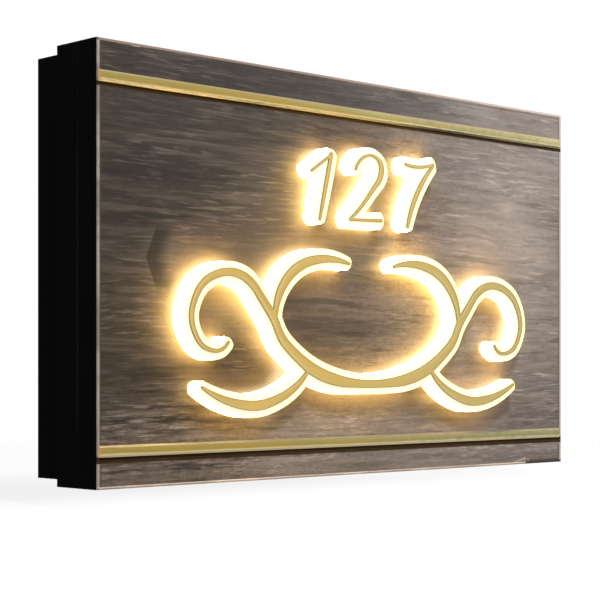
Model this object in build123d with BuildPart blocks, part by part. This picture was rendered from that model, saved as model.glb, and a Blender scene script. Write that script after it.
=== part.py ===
from build123d import *
import os
from math import cos, radians, sin, sqrt

# Illuminated nameplate. The wall is the XZ plane, the front faces -Y and Z is up. Sizes in millimetres.

# Front board
board_width = 450.0
board_height = 270.0
board_thick = 6.0
board_arris = 1.5

# Depth of each layer, from the wall outwards
tray_depth = 26.0
case_depth = 20.0
gasket_thick = 0.8
cover_depth = 14.2

# Sheet thicknesses
tray_sheet = 1.2
case_sheet = 1.5
cover_sheet = 1.5
lip_sheet = 1.5
led_board_thick = 3.0
backing_thick = 3.0

# Clearances
fit_clear = 0.4
hole_clear = 0.3
thread_clear = 0.1
character_clear = 0.3

# Wall tray
tray_inset = 4.2
tray_flange = 14.0
wall_hole_span_x = 380.0
wall_hole_span_z = 200.0
wall_hole_radius = 2.75

# Cable entry
cable_inset = 65.0
cable_z = 20.0
cable_radius = 4.5
bush_wall = 2.5
bush_flange = 3.0
bush_flange_thick = 2.0
bush_setback = 0.2

# Screws that hold the case to the tray
case_screw_span_x = 300.0
case_screw_radius = 2.0
case_screw_head_radius = 4.0
case_screw_head_thick = 2.6
case_screw_bite = 5.0
screw_sides = 8
screw_head_sides = 12
hex_sides = 6

# Locating lip and the screws that clamp the cover to it
lip_reach = 8.5
cover_screw_span = 240.0
cover_screw_depth = 4.2
cover_screw_radius = 1.5
cover_screw_head_radius = 2.8
cover_screw_head_thick = 1.2
cover_nut_width = 5.5
cover_nut_thick = 2.4
gasket_inset = 0.4

# Cleats glued into the corners of the cover
cleat_leg = 28.0
cleat_thick = 5.0

# Backing sheet behind the characters
backing_width = 390.0
backing_height = 212.0

# Gold bars
bar_inset = 19.4
bar_width = 7.0
bar_thick = 2.0
bar_bevel = 1.2
bar_left_gap = 0.4
bar_right_gap = 4.5

# Characters
character_proud = 10.0
face_thick = 1.0
flourish_rim = 4.3
number_rim = 4.6
least_half = 0.9
cap_round = 0.5
straight = 0.0001
number_base = 31.0
number_slant = 0.2
one_start = -61.0
two_start = -27.0
seven_start = 23.0

# Flourish, whose halves mirror each other about the middle
flourish_level = -36.0
spine_dip = 37.0
volute_middle = 136.0
volute_radius = 42.0
volute_eye = 11.0
volute_start = 165.0
volute_turn = 285.0
volute_steps = 6
volute_width = 15.0
volute_eye_width = 10.5

# Light source
strip_width = 10.0
strip_thick = 1.5
strip_margin = 36.0
strip_gap = 3.0
number_row_lifts = [45.0, 13.0]
flourish_row_lifts = [30.0, -4.0, -38.0]
chip_size = 5.0
chip_thick = 1.4
chip_pitch = 36.0
chip_end = 8.0
lead_width = 3.0
lead_thick = 1.2
lead_overlap = 4.0
lead_reach = 12.0

# Driver and terminal block
driver_length = 80.0
driver_width = 40.0
driver_thick = 20.0
driver_margin = 11.0
driver_lid_thick = 2.0
driver_lid_inset = 1.5
ear_width = 12.0
ear_reach = 9.0
ear_thick = 2.5
ear_offset = 11.0
block_gap = 10.0
block_margin = 11.0
block_length = 28.0
block_width = 20.0
block_base = 9.0
block_tower = 6.0
block_tower_length = 16.0
block_tower_width = 8.0
block_pole_pitch = 10.0
block_wire_hole = 4.0

# Depths of the layers, measured from the wall
case_back = tray_depth
case_floor = case_back + case_sheet
case_front = case_back + case_depth
cover_back = case_front + gasket_thick
board_back = cover_back + cover_depth
board_front = board_back + board_thick
character_front = board_front + character_proud
backing_back = board_back - backing_thick
led_face = case_floor + led_board_thick
strip_face = led_face + strip_thick

# Widths and heights that follow from them
tray_width = board_width - 2 * tray_inset
tray_height = board_height - 2 * tray_inset
case_inner_width = board_width - 2 * case_sheet
case_inner_height = board_height - 2 * case_sheet
cover_inner_width = board_width - 2 * cover_sheet
cover_inner_height = board_height - 2 * cover_sheet
lip_width = min(case_inner_width, cover_inner_width) - 2 * fit_clear
lip_height = min(case_inner_height, cover_inner_height) - 2 * fit_clear
led_board_width = lip_width - 2 * lip_sheet - 2 * fit_clear
cable_x = board_width / 2 - cable_inset
bush_radius = cable_radius + bush_wall
case_screw_span_z = tray_height - tray_flange
led_board_height = case_screw_span_z - 2 * case_screw_head_radius - 2 * fit_clear
block_start = led_board_width / 2 - block_margin - block_length
driver_end = block_start - block_gap
driver_start = driver_end - driver_length
driver_level = led_board_height / 2 - driver_margin - driver_width / 2
short_strip = 2 * (driver_start - ear_reach - strip_gap)
long_strip = led_board_width - 2 * strip_margin
number_rows = [(number_base + lift, short_strip) for lift in number_row_lifts]
flourish_rows = [(flourish_level + lift, long_strip) for lift in flourish_row_lifts]
strip_rows = number_rows + flourish_rows

os.makedirs("parts", exist_ok=True)


def layer(depth):
    # Sketch plane at a depth from the wall, seen from the front
    return Plane.XZ.offset(depth)


def finish(piece, name):
    piece.part.label = name
    export_step(piece.part, f"parts/{name}.step")


def headings_along(points):
    # Direction of travel at each point, from its neighbours
    first_chord = (points[1] - points[0]).normalized()
    last_chord = (points[-1] - points[-2]).normalized()
    headings = [(after - before).normalized() for before, after in zip(points, points[2:])]
    if not headings:
        return [first_chord, last_chord]
    headings.insert(0, first_chord * (2 * first_chord.dot(headings[0])) - headings[0])
    headings.append(last_chord * (2 * last_chord.dot(headings[-1])) - headings[-1])
    return headings


def stroke_sides(stations, grow):
    # Both sides and both tips of one stroke. A station is x, z and the width there, and grow widens each side.
    centres = [Vector(x, z) for x, z, width in stations]
    left = []
    right = []
    tips = []
    for centre, heading, station in zip(centres, headings_along(centres), stations):
        half = max(station[2] / 2 + grow, least_half)
        across = Vector(-heading.Y, heading.X) * half
        left.append(centre + across)
        right.append(centre - across)
        tips.append((centre - heading * half * cap_round, centre + heading * half * cap_round))
    return left, right, tips[0][0], tips[-1][1]


def side_arcs(points):
    # Start, end and starting direction of the pairs of tangent arcs that run smoothly through the points
    arcs = []
    headings = headings_along(points)
    for start, end, leaving, arriving in zip(points, points[1:], headings, headings[1:]):
        span = end - start
        reach = span.dot(leaving + arriving)
        spread = 2 * (1 - leaving.dot(arriving))
        handle = span.dot(span) / (sqrt(reach**2 + spread * span.dot(span)) + reach)
        middle = (start + end + (leaving - arriving) * handle) * 0.5
        arcs.append((start, middle, leaving))
        arcs.append((end, middle, arriving * -1))
    return arcs


def character_outline(strokes, grow):
    # Flat outline of a character, its strokes joined
    with BuildSketch(Plane.XY) as outline:
        for stations in strokes:
            left, right, start_tip, end_tip = stroke_sides(stations, grow)
            with BuildLine():
                for start, end, heading in side_arcs(left) + side_arcs(right):
                    if abs(heading.cross(end - start).Z) < straight:
                        Line(start, end)
                    else:
                        TangentArc(start, end, tangent=heading)
                ThreePointArc(left[0], start_tip, right[0])
                ThreePointArc(left[-1], end_tip, right[-1])
            make_face()
    return outline.sketch


def volute():
    # Stations of a spiral that narrows as it winds in to its eye
    stations = []
    for step in range(volute_steps + 1):
        share = step / volute_steps
        angle = radians(volute_start - volute_turn * share)
        reach = volute_radius + (volute_eye - volute_radius) * share
        width = volute_width + (volute_eye_width - volute_width) * share
        stations.append((volute_middle + reach * cos(angle), reach * sin(angle), width))
    return stations


def moved(strokes, start, base, slant=0):
    # Strokes moved to their place on the board and slanted
    return [[(start + x + slant * z, base + z, width) for x, z, width in stroke] for stroke in strokes]


def mirrored(strokes):
    return [[(-x, z, width) for x, z, width in stroke] for stroke in strokes]


# Centrelines of the characters: x, z and the width of the stroke there
right_half = [
    (0, -spine_dip, 0.93 * volute_width),
    (0.34 * volute_middle, -0.84 * spine_dip, 1.13 * volute_width),
    (0.59 * volute_middle, -0.3 * spine_dip, 1.03 * volute_width),
    *volute(),
]
left_half = mirrored([right_half])[0]
upper_leaf = [(0, 0, 10.5), (-6, 27, 15.0), (-30, 44, 15.0), (-68, 44, 8.6)]
lower_leaf = [(0, 0, 10.5), (22, -18, 14.0), (54, -25, 15.0), (94, -13, 8.6)]
leaves = moved([upper_leaf], 0.66 * volute_middle, 0) + moved([lower_leaf], 0.43 * volute_middle, -0.68 * spine_dip)
flourish_strokes = [left_half[:0:-1] + right_half] + leaves + mirrored(leaves)
one_strokes = [
    [(10, 5, 10.5), (11, 28, 12.5), (12, 50, 12.0)],
    [(12, 49, 10.5), (-4, 37, 9.5)],
]
two_strokes = [
    [(3, 41, 11.0), (15, 52, 10.5), (28, 43, 13.5), (19, 24, 12.0), (4, 7, 9.5)],
    [(4, 7, 9.5), (35, 8, 11.5)],
]
seven_strokes = [
    [(1, 49, 11.0), (15, 48, 11.5), (30, 51, 10.5)],
    [(30, 50, 10.5), (17, 29, 13.0), (12, 5, 11.5)],
]
characters = {
    "numeral_one": moved(one_strokes, one_start, number_base, number_slant),
    "numeral_two": moved(two_strokes, two_start, number_base, number_slant),
    "numeral_seven": moved(seven_strokes, seven_start, number_base, number_slant),
    "flourish": moved(flourish_strokes, 0, flourish_level),
}

# Wall tray: a folded pan with an in-turned front flange
with BuildPart() as wall_tray:
    with BuildSketch(layer(0)):
        Rectangle(tray_width, tray_height)
    extrude(amount=tray_depth)
    with BuildSketch(layer(tray_sheet)):
        Rectangle(tray_width - 2 * tray_sheet, tray_height - 2 * tray_sheet)
    extrude(amount=tray_depth - 2 * tray_sheet, mode=Mode.SUBTRACT)
    with BuildSketch(layer(tray_depth - tray_sheet)):
        Rectangle(tray_width - 2 * tray_flange, tray_height - 2 * tray_flange)
    extrude(amount=tray_sheet, mode=Mode.SUBTRACT)
    with Locations(layer(tray_sheet)):
        with GridLocations(wall_hole_span_x, wall_hole_span_z, 2, 2):
            Hole(wall_hole_radius, depth=tray_sheet)
        with Locations((cable_x, cable_z)):
            Hole(bush_radius + thread_clear, depth=tray_sheet)
    with BuildSketch(layer(tray_depth - tray_sheet)):
        with GridLocations(case_screw_span_x, case_screw_span_z, 2, 2):
            RegularPolygon(case_screw_radius + hole_clear, screw_sides)
    extrude(amount=tray_sheet, mode=Mode.SUBTRACT)
finish(wall_tray, "wall_tray")

# Cable bush: a six-sided flange inside the tray and a barrel that stops short of the wall
with BuildPart() as cable_bush:
    with BuildSketch(layer(bush_setback)):
        with Locations((cable_x, cable_z)):
            Circle(bush_radius)
    extrude(amount=tray_sheet - bush_setback)
    with BuildSketch(layer(tray_sheet)):
        with Locations((cable_x, cable_z)):
            RegularPolygon(bush_radius + bush_flange, hex_sides)
    extrude(amount=bush_flange_thick)
    with Locations(layer(tray_sheet + bush_flange_thick)):
        with Locations((cable_x, cable_z)):
            Hole(cable_radius)
finish(cable_bush, "cable_bush")

# Rear case: the black pan of the rear layer
with BuildPart() as rear_case:
    with BuildSketch(layer(case_back)):
        Rectangle(board_width, board_height)
    extrude(amount=case_depth)
    with BuildSketch(layer(case_floor)):
        Rectangle(case_inner_width, case_inner_height)
    extrude(amount=case_depth - case_sheet, mode=Mode.SUBTRACT)
    with BuildSketch(layer(case_back)):
        with GridLocations(case_screw_span_x, case_screw_span_z, 2, 2):
            RegularPolygon(case_screw_radius + hole_clear, screw_sides)
    extrude(amount=case_sheet, mode=Mode.SUBTRACT)
    with Locations(layer(case_floor)):
        with Locations((cable_x, cable_z)):
            Hole(bush_radius + thread_clear, depth=case_sheet)
finish(rear_case, "rear_case")

# Locating lip, with a slot open to the front for each cover screw
slot_depth = cover_back + cover_screw_depth
lip_front = cover_back + lip_reach
slot_half = cover_screw_radius + hole_clear
with BuildPart() as inner_frame:
    with BuildSketch(layer(case_floor)):
        Rectangle(lip_width, lip_height)
        Rectangle(lip_width - 2 * lip_sheet, lip_height - 2 * lip_sheet, mode=Mode.SUBTRACT)
    extrude(amount=lip_front - case_floor)
    with BuildSketch(layer(slot_depth - slot_half)):
        with GridLocations(cover_screw_span, lip_height - lip_sheet, 2, 2):
            Rectangle(2 * slot_half, 2 * lip_sheet)
    extrude(amount=lip_front - slot_depth + slot_half, mode=Mode.SUBTRACT)
finish(inner_frame, "inner_frame")

# Seam gasket between the case and the cover
with BuildPart() as seam_gasket:
    with BuildSketch(layer(case_front)):
        Rectangle(board_width - 2 * gasket_inset, board_height - 2 * gasket_inset)
        Rectangle(case_inner_width, case_inner_height, mode=Mode.SUBTRACT)
    extrude(amount=gasket_thick)
finish(seam_gasket, "seam_gasket")

# White sheet that carries the light source
with BuildPart() as led_board:
    with BuildSketch(layer(case_floor)):
        Rectangle(led_board_width, led_board_height)
    extrude(amount=led_board_thick)
    with Locations(layer(led_face)):
        with Locations((cable_x, cable_z)):
            Hole(bush_radius)
finish(led_board, "led_board")

# Pan-head screws from the case floor into the tray's flange
screw_tip = tray_depth - tray_sheet - case_screw_bite
with BuildPart() as case_screws:
    with BuildSketch(layer(screw_tip)):
        with GridLocations(case_screw_span_x, case_screw_span_z, 2, 2):
            RegularPolygon(case_screw_radius, screw_sides)
    extrude(amount=case_floor - screw_tip)
    with BuildSketch(layer(case_floor)):
        with GridLocations(case_screw_span_x, case_screw_span_z, 2, 2):
            RegularPolygon(case_screw_head_radius, screw_head_sides)
    extrude(amount=case_screw_head_thick)
finish(case_screws, "case_screws")

# Led strips in five rows, and their chips
for row, (level, length) in enumerate(strip_rows, start=1):
    with BuildPart() as led_strip:
        with BuildSketch(layer(led_face)):
            with Locations((0, level)):
                Rectangle(length, strip_width)
        extrude(amount=strip_thick)
    finish(led_strip, f"led_strip_{row}")
    chip_count = int((length - 2 * chip_end) / chip_pitch) + 1
    with BuildPart() as led_chips:
        with BuildSketch(layer(strip_face)):
            with Locations((0, level)):
                with GridLocations(chip_pitch, chip_pitch, chip_count, 1):
                    Rectangle(chip_size, chip_size)
        extrude(amount=chip_thick)
    finish(led_chips, f"led_chips_{row}")

# Flat leads that join each strip to the next, at the left end and the right end by turns
with BuildPart() as jumper_leads:
    side = -1
    for (upper, upper_length), (lower, lower_length) in zip(strip_rows, strip_rows[1:]):
        outer = side * (max(upper_length, lower_length) / 2 + lead_reach)
        with BuildLine(layer(strip_face)) as route:
            Polyline(
                (side * (upper_length / 2 - lead_overlap), upper),
                (outer, upper),
                (outer, lower),
                (side * (lower_length / 2 - lead_overlap), lower),
            )
        with BuildSketch(Plane(route.line @ 0, x_dir=(0, 0, 1), z_dir=route.line % 0)):
            Rectangle(lead_width, lead_thick, align=(Align.CENTER, Align.MAX if side < 0 else Align.MIN))
        sweep(path=route.line, transition=Transition.RIGHT)
        side = -side
finish(jumper_leads, "jumper_leads")

# Driver: a case with two ears, and its lid
driver_middle = driver_start + driver_length / 2
driver_lid_face = led_face + driver_thick
with BuildPart() as driver_case:
    with BuildSketch(layer(led_face)):
        with Locations((driver_middle, driver_level)):
            Rectangle(driver_length, driver_width)
    extrude(amount=driver_thick - driver_lid_thick)
    with BuildSketch(layer(led_face)):
        with Locations((driver_middle, driver_level + ear_offset)):
            Rectangle(driver_length + 2 * ear_reach, ear_width)
    extrude(amount=ear_thick)
finish(driver_case, "driver_case")

with BuildPart() as driver_lid:
    with BuildSketch(layer(driver_lid_face - driver_lid_thick)):
        with Locations((driver_middle, driver_level)):
            Rectangle(driver_length - 2 * driver_lid_inset, driver_width - 2 * driver_lid_inset)
    extrude(amount=driver_lid_thick)
finish(driver_lid, "driver_lid")

# Terminal block: a base with a screw tower and a wire channel for each pole
block_middle = block_start + block_length / 2
with BuildPart() as terminal_block:
    with BuildSketch(layer(led_face)):
        with Locations((block_middle, driver_level)):
            Rectangle(block_length, block_width)
    extrude(amount=block_base)
    with BuildSketch(layer(led_face + block_base)):
        with Locations((block_middle, driver_level)):
            with GridLocations(block_pole_pitch, block_pole_pitch, 1, 2):
                Rectangle(block_tower_length, block_tower_width)
    extrude(amount=block_tower)
    with BuildSketch(Plane.YZ.offset(block_start)):
        with Locations((-led_face - block_base / 2, driver_level)):
            with GridLocations(block_pole_pitch, block_pole_pitch, 1, 2):
                Rectangle(block_wire_hole, block_wire_hole)
    extrude(amount=block_length, mode=Mode.SUBTRACT)
finish(terminal_block, "terminal_block")

# Flat leads from the driver to each pole of the terminal block, and from the driver to the first strip
with BuildPart() as input_leads:
    with BuildSketch(Plane.YZ.offset(driver_end)):
        with Locations((-led_face - block_base / 2, driver_level)):
            with GridLocations(block_pole_pitch, block_pole_pitch, 1, 2):
                Rectangle(lead_thick, lead_width)
    extrude(amount=block_gap + lead_overlap)
finish(input_leads, "input_leads")

first_level = strip_rows[0][0]
output_start = short_strip / 2 - lead_overlap
with BuildPart() as output_lead:
    with BuildSketch(layer(strip_face)):
        with Locations((output_start, first_level)):
            Rectangle(driver_start - output_start, lead_width, align=(Align.MIN, Align.CENTER))
    extrude(amount=lead_thick)
finish(output_lead, "output_lead")

# Cover frame: the black sides of the front layer, drilled for the cover screws
cover_screw_level = cover_back + cover_screw_depth
with BuildPart() as cover_frame:
    with BuildSketch(layer(cover_back)):
        Rectangle(board_width, board_height)
        Rectangle(cover_inner_width, cover_inner_height, mode=Mode.SUBTRACT)
    extrude(amount=cover_depth)
    with BuildSketch(Plane.XY.offset(-board_height / 2)):
        with Locations((0, -cover_screw_level)):
            with GridLocations(cover_screw_span, cover_screw_span, 2, 1):
                RegularPolygon(cover_screw_radius + hole_clear, screw_sides)
    extrude(amount=board_height, mode=Mode.SUBTRACT)
finish(cover_frame, "cover_frame")

# Screws through the frame's top and bottom, and the closed nuts that clamp the lip
nut_seat = lip_height / 2 - lip_sheet - thread_clear
with BuildPart() as cover_screws:
    for side in (-1, 1):
        with BuildSketch(Plane.XY.offset(side * nut_seat)):
            with Locations((0, -cover_screw_level)):
                with GridLocations(cover_screw_span, cover_screw_span, 2, 1):
                    RegularPolygon(cover_screw_radius, screw_sides)
        extrude(amount=side * (board_height / 2 - nut_seat))
        with BuildSketch(Plane.XY.offset(side * board_height / 2)):
            with Locations((0, -cover_screw_level)):
                with GridLocations(cover_screw_span, cover_screw_span, 2, 1):
                    RegularPolygon(cover_screw_head_radius, screw_head_sides)
        extrude(amount=side * cover_screw_head_thick)
finish(cover_screws, "cover_screws")

with BuildPart() as cover_nuts:
    for side in (-1, 1):
        with BuildSketch(Plane.XY.offset(side * nut_seat)):
            with Locations((0, -cover_screw_level)):
                with GridLocations(cover_screw_span, cover_screw_span, 2, 1):
                    RegularPolygon(cover_nut_width / 2, hex_sides, major_radius=False)
        extrude(amount=-side * cover_nut_thick)
finish(cover_nuts, "cover_nuts")

# Triangular cleats in the corners of the cover
corner_x = cover_inner_width / 2
corner_z = cover_inner_height / 2
cleat_back = board_back - cleat_thick
with BuildPart() as corner_cleats:
    with BuildSketch(layer(cleat_back)):
        for side_x in (-1, 1):
            for side_z in (-1, 1):
                with BuildLine():
                    Polyline(
                        (side_x * corner_x, side_z * corner_z),
                        (side_x * (corner_x - cleat_leg), side_z * corner_z),
                        (side_x * corner_x, side_z * (corner_z - cleat_leg)),
                        close=True,
                    )
                make_face()
    extrude(amount=cleat_thick)
finish(corner_cleats, "corner_cleats")

# Opal backing sheet that the characters are bonded to
with BuildPart() as backing_sheet:
    with BuildSketch(layer(backing_back)):
        Rectangle(backing_width, backing_height)
    extrude(amount=backing_thick)
finish(backing_sheet, "backing_sheet")

# Front board with a rounded front edge and a cut-out for each character
cut_outs = [character_outline(strokes, character_clear) for strokes in characters.values()]
with BuildPart() as front_board:
    with BuildSketch(layer(board_back)):
        Rectangle(board_width, board_height)
    extrude(amount=board_thick)
    fillet(front_board.faces().sort_by(Axis.Y)[0].edges(), board_arris)
    with BuildSketch(layer(board_back)):
        for cut_out in cut_outs:
            add(cut_out)
    extrude(amount=board_thick, mode=Mode.SUBTRACT)
finish(front_board, "front_board")

# Gold bars with bevelled long edges, flush with the board at the left and a little short at the right
bar_level = board_height / 2 - bar_inset - bar_width / 2
bar_length = board_width - bar_left_gap - bar_right_gap
bar_middle = (bar_left_gap - bar_right_gap) / 2
for side, name in ((1, "upper_gold_bar"), (-1, "lower_gold_bar")):
    with BuildPart() as gold_bar:
        with BuildSketch(layer(board_front)):
            with Locations((bar_middle, side * bar_level)):
                Rectangle(bar_length, bar_width)
        extrude(amount=bar_thick)
        front_edges = gold_bar.faces().sort_by(Axis.Y)[0].edges()
        chamfer(front_edges.filter_by(Axis.X), bar_bevel)
    finish(gold_bar, name)

# Characters: an opal body pushed through the board, and a smaller gold face on its front
for name, strokes in characters.items():
    body_outline = character_outline(strokes, 0)
    with BuildPart() as body:
        with BuildSketch(layer(board_back)):
            add(body_outline)
        extrude(amount=character_front - board_back)
    finish(body, name)
    rim = flourish_rim if name == "flourish" else number_rim
    face_outline = character_outline(strokes, -rim)
    with BuildPart() as gold_face:
        with BuildSketch(layer(character_front)):
            add(face_outline)
        extrude(amount=face_thick)
    finish(gold_face, f"{name}_face")
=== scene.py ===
import math
from types import SimpleNamespace

import bmesh
import bpy
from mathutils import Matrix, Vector


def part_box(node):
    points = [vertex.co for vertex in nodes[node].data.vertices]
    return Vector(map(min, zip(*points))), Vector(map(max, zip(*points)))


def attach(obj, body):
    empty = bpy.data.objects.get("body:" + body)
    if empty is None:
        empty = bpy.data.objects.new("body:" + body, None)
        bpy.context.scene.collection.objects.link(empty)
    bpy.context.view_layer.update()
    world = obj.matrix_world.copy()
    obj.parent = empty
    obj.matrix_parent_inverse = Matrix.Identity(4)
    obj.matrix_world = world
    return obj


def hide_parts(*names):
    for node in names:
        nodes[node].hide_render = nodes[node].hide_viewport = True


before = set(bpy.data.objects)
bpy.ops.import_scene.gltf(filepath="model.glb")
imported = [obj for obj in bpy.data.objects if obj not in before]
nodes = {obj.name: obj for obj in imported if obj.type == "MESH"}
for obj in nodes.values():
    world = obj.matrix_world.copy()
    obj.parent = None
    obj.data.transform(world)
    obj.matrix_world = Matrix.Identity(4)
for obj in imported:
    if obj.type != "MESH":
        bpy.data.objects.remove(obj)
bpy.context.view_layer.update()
print("frame loaded with", len(nodes), "pieces")


class Wire:  # a shader socket that can be used in sums
    def __init__(self, paint, socket):
        self.paint = paint
        self.socket = socket

    def sum(self, operation, first, second):
        return self.paint.add("Math", {"operation": operation}, {0: first, 1: second})

    def __add__(self, other):
        return self.sum("ADD", self, other)

    def __radd__(self, other):
        return self.sum("ADD", other, self)

    def __sub__(self, other):
        return self.sum("SUBTRACT", self, other)

    def __rsub__(self, other):
        return self.sum("SUBTRACT", other, self)

    def __mul__(self, other):
        return self.sum("MULTIPLY", self, other)

    def __rmul__(self, other):
        return self.sum("MULTIPLY", other, self)

    def __truediv__(self, other):
        return self.sum("DIVIDE", self, other)

    def __rtruediv__(self, other):
        return self.sum("DIVIDE", other, self)

    def __pow__(self, other):
        return self.sum("POWER", self, other)

    def __rpow__(self, other):
        return self.sum("POWER", other, self)

    def __neg__(self):
        return self.sum("MULTIPLY", self, -1.0)

    def __abs__(self):
        return self.sum("ABSOLUTE", self, 0.0)


class Paint:  # a material or the world, built node by node
    def __init__(self, owner):
        self.owner = owner
        owner.use_nodes = True
        self.tree = owner.node_tree
        self.tree.nodes.clear()

    def add(self, kind, settings, sockets, out=0):
        node = self.tree.nodes.new("ShaderNode" + kind)
        for key, value in settings.items():
            setattr(node, key, value)
        for key, value in sockets.items():
            if isinstance(value, Wire):
                self.tree.links.new(value.socket, node.inputs[key])
            else:
                node.inputs[key].default_value = value
        return Wire(self, node.outputs[out]) if node.outputs else None

    def place(self):  # x, y and z in the object's own frame, in metres
        spot = self.add("TexCoord", {}, {}, "Object")
        return [self.add("SeparateXYZ", {}, {0: spot}, axis) for axis in "XYZ"]

    def normal(self, axis):  # one part of the normal; y is -1 on faces that look to the front
        return self.add("SeparateXYZ", {}, {0: self.add("TexCoord", {}, {}, "Normal")}, axis)

    def rounded(self, radius, axis):  # one part of the normal, turned outwards near an edge
        soft = self.add("Bevel", {"samples": 6}, {"Radius": radius})
        return self.add("SeparateXYZ", {}, {0: soft}, axis)

    def openness(self, distance, **sockets):  # 1 in the open, 0 where something stands close by
        return self.add("AmbientOcclusion", {"samples": 8}, {"Distance": distance, **sockets}, "AO")

    def grain(self, x, y, z, detail=2.0, rough=0.5):  # noise on stretched coordinates
        spot = self.add("CombineXYZ", {}, {"X": x, "Y": y, "Z": z})
        return self.add("TexNoise", {}, {"Vector": spot, "Scale": 1.0, "Detail": detail, "Roughness": rough})

    def step(self, value, low, high):  # 0 below low, 1 above high, smooth between
        ends = {"Value": value, "From Min": low, "From Max": high}
        return self.add("MapRange", {"interpolation_type": "SMOOTHSTEP"}, ends)

    def span(self, value, rise, fall):  # up over the first pair, down over the second
        return self.step(value, *rise) * (1.0 - self.step(value, *fall))

    def larger(self, first, second):
        return self.add("Math", {"operation": "MAXIMUM"}, {0: first, 1: second})

    def mix(self, share, first, second):
        return self.add("Mix", {"data_type": "RGBA"}, {0: share, 6: first, 7: second}, 2)

    def bump(self, height, strength, depth):
        return self.add("Bump", {}, {"Strength": strength, "Distance": depth, "Height": height})

    def skin(self, sockets):
        return self.add("BsdfPrincipled", {}, sockets)

    def blend(self, share, first, second):  # two shaders
        return self.add("MixShader", {}, {0: share, 1: first, 2: second})

    def close(self, shader):
        self.add("OutputMaterial", {}, {"Surface": shader})
        return self.owner

    def surface(self, sockets):
        return self.close(self.skin(sockets))


def newPaint(name):
    return Paint(bpy.data.materials.new(name))


def dress(material, *names):  # gives CAD pieces their finish
    for name in names:
        piece = nodes[name]
        piece.data.materials.clear()
        piece.data.materials.append(material)


def rgb(red, green, blue):
    return (red, green, blue, 1.0)


def beside(place, distances):  # places at these distances from another
    return [place + distance for distance in distances]


# front board: dark wood-look laminate, with a pale core at the rounded edge and black sides
boardLook = {
    "mid": rgb(0.0275, 0.0202, 0.0148),
    "dark": rgb(0.0075, 0.0053, 0.0038),
    "pale": rgb(0.105, 0.084, 0.070),
    "husk": rgb(0.350, 0.288, 0.250),
    "chaff": rgb(0.460, 0.385, 0.340),
    "sheenVeil": rgb(0.350, 0.306, 0.280),
    "sand": rgb(0.500, 0.420, 0.355),
    "light": rgb(0.226, 0.181, 0.154),
    "coolSheen": rgb(0.262, 0.224, 0.202),
    "dimSheen": rgb(0.134, 0.110, 0.100),
    "blond": rgb(0.430, 0.370, 0.330),
    "vein": rgb(0.075, 0.060, 0.050),
    "warmLight": rgb(0.230, 0.182, 0.146),
    "core": rgb(0.420, 0.365, 0.325),
    "stain": rgb(0.045, 0.030, 0.020),
    "pink": rgb(0.340, 0.262, 0.225),
    "tan": rgb(0.170, 0.120, 0.096),
    "fresh": rgb(0.820, 0.680, 0.590),
    "glueAndShadow": rgb(0.030, 0.016, 0.004),
    "side": rgb(0.0016, 0.0016, 0.0014),
    "spill": rgb(0.32, 0.34, 0.30),
    "amber": rgb(0.22, 0.15, 0.05),
    "none": rgb(0.0, 0.0, 0.0),
    # waves per metre along and across the grain, seed, detail, and where the layer starts and is full
    "layers": {
        "bands": (4, 75, 1.7, 3.0, 0.42, 0.75),
        "crowd": (11, 34, 8.8, 1.0, 0.40, 0.62),
        "patch": (16, 40, 11.5, 2.0, 0.38, 0.62),
        "smear": (17, 240, 17.7, 2.5, 0.50, 0.68),
        "hairs": (19, 640, 12.1, 2.0, 0.57, 0.72),
        "veins": (34, 230, 15.9, 2.0, 0.56, 0.72),
        "sparse": (46, 400, 14.7, 2.0, 0.56, 0.72),
        "pores": (48, 420, 9.9, 2.0, 0.55, 0.74),
        "dashes": (54, 560, 5.3, 2.0, 0.54, 0.70),
        "chaff": (95, 720, 21.3, 2.0, 0.54, 0.66),
    },
    # soft patches: x, z, half width, half height, share and tone; the pale sheen-veil patches are painted
    # sheen and the warmer patch is painted light
    "tones": [
        (0.010, -0.112, 0.150, 0.045, 0.15, "sheenVeil"),
        (-0.050, 0.015, 0.130, 0.080, 0.05, "sheenVeil"),
        (0.150, 0.042, 0.070, 0.042, 0.22, "sand"),
        (-0.020, 0.125, 0.160, 0.022, 0.24, "dark"),
        (0.190, 0.125, 0.070, 0.020, 0.14, "dark"),
        (0.180, -0.127, 0.070, 0.016, 0.08, "sheenVeil"),
        (-0.158, -0.030, 0.045, 0.070, 0.10, "warmLight"),
    ],
    # rubbed spots near the edges: x, z, half width, half height
    "wear": [
        (-0.196, 0.1337, 0.005, 0.0012),
        (0.1835, -0.1320, 0.0016, 0.0010),
        (0.222, 0.061, 0.0012, 0.0012),
    ],
    "knot": {"x": -0.189, "z": 0.0055, "wide": 0.018, "tall": 0.024, "lean": 0.42, "sharp": 0.0012},
    "chip": {"x": 0.179, "z": -0.1316, "start": (0.0, 0.003), "top": (-0.0004, 0.0)},
    # the skin that curls up, measured from the chip
    "curl": {
        "start": (-0.022, -0.015),
        "end": (0.001, 0.003),
        "slope": (-0.020, 0.003),
        "drop": 0.003,
        "climb": 0.004,
        "ragged": 0.0006,
        "half": (0.0006, 0.0013),
    },
    # lines along the edges, measured from the edge
    "brownLine": (-0.0034, -0.0026),
    "darkLine": ((-0.0042, -0.0034), (-0.0026, -0.0018)),
    "pinkBand": (-0.0034, -0.0030),
    "insideShadeLine": (-0.0050, -0.0042),
    # painted shadow and glue below each bar: how far below its base, and how it fades
    "glueAndShadowLines": {"upper_gold_bar": 0.0022, "lower_gold_bar": 0.0036},
    "glueAndShadowFade": ((-0.0005, 0.0), (0.0, 0.001)),
    "arris": 0.0015,  # radius of the rounded front edge
    "clearance": 0.030,  # flecks fade this close to the characters
    "spillReach": 0.016,
    "spillLean": (0.75, 0.0, -0.45),  # to the right and down
}


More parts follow.
